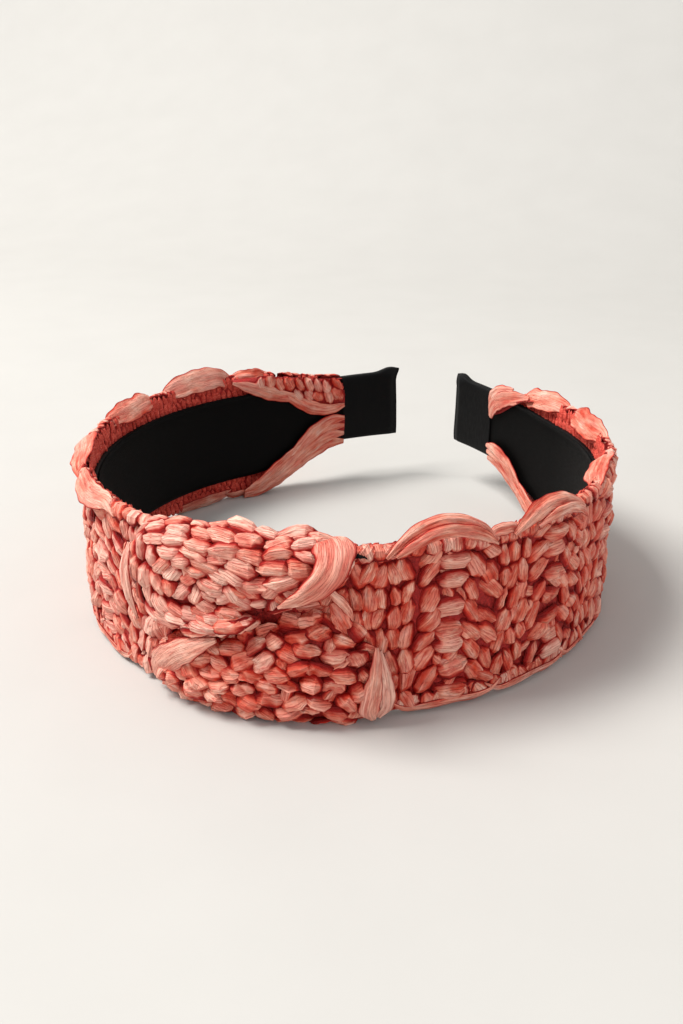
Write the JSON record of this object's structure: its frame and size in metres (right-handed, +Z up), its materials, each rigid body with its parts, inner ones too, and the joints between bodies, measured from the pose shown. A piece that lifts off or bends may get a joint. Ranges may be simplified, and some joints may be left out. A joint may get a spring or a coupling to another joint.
{
  "type": "headband",
  "caption": "Wide headband of crinkled raffia with a twisted knot at the crown, scalloped strand edges, black ribbon lining and sleeved open ends that spread to fit a head.",
  "frame": {"origin": "centre of the footprint, on the surface that the band's lower edge stands on", "axes": "+Z up across the band's width, -Y towards the knotted crown, +Y towards the open ends, +X towards the right end as the knot faces the viewer"},
  "size_m": [0.1368, 0.1592, 0.043],
  "materials": {
    "raffia_braid": "crinkled paper-raffia crochet, matte with light streaks",
    "raffia_strand": "smooth flattened raffia strand, faint lengthwise fibre and soft sheen",
    "black_satin": "black satin ribbon lining, soft sheen",
    "black_ribbon": "black grosgrain ribbon",
    "hoop_plastic": "plain moulded plastic strip, hidden"
  },
  "bodies": {
    "crown": {"hoop_core_crown": "hoop_plastic", "core_cover_crown": "black_ribbon", "lining_crown": "black_satin", "knot_back_strip": "raffia_braid", "knot_upper_lobe": "raffia_braid", "knot_lower_lobe": "raffia_braid", "knot_throat_fold": "raffia_braid", "knot_wrap_strand": "raffia_strand", "knot_neck_strand": "raffia_strand", "knot_left_strand": "raffia_strand", "knot_left_leaf": "raffia_strand", "knot_right_leaves": "raffia_strand"},
    "left_arm": {"left_hoop_core": "hoop_plastic", "left_core_cover": "black_ribbon", "left_lining": "black_satin", "left_raffia_strip": "raffia_braid", "left_tip_sleeve": "black_ribbon", "left_upper_edge_loops": "raffia_strand", "left_lower_edge_loops": "raffia_strand", "left_upper_flap": "raffia_braid", "left_lower_flap": "raffia_braid"},
    "right_arm": {"right_hoop_core": "hoop_plastic", "right_core_cover": "black_ribbon", "right_lining": "black_satin", "right_raffia_strip": "raffia_braid", "right_tip_sleeve": "black_ribbon", "right_upper_edge_loops": "raffia_strand", "right_lower_edge_loops": "raffia_strand", "right_upper_flap": "raffia_braid", "right_lower_flap": "raffia_braid"}
  },
  "joints": [
    {"name": "left_arm_flex", "type": "hinge", "parent": "crown", "child": "left_arm", "pos_m": [-0.03243, -0.05926, 0.0206], "axis": [0, 0, 1], "range_deg": [-3, 18], "stiffness_Nm_per_rad": 1.5},
    {"name": "right_arm_flex", "type": "hinge", "parent": "crown", "child": "right_arm", "pos_m": [0.03243, -0.05926, 0.0206], "axis": [0, 0, -1], "range_deg": [-3, 18], "stiffness_Nm_per_rad": 1.5}
  ]
}
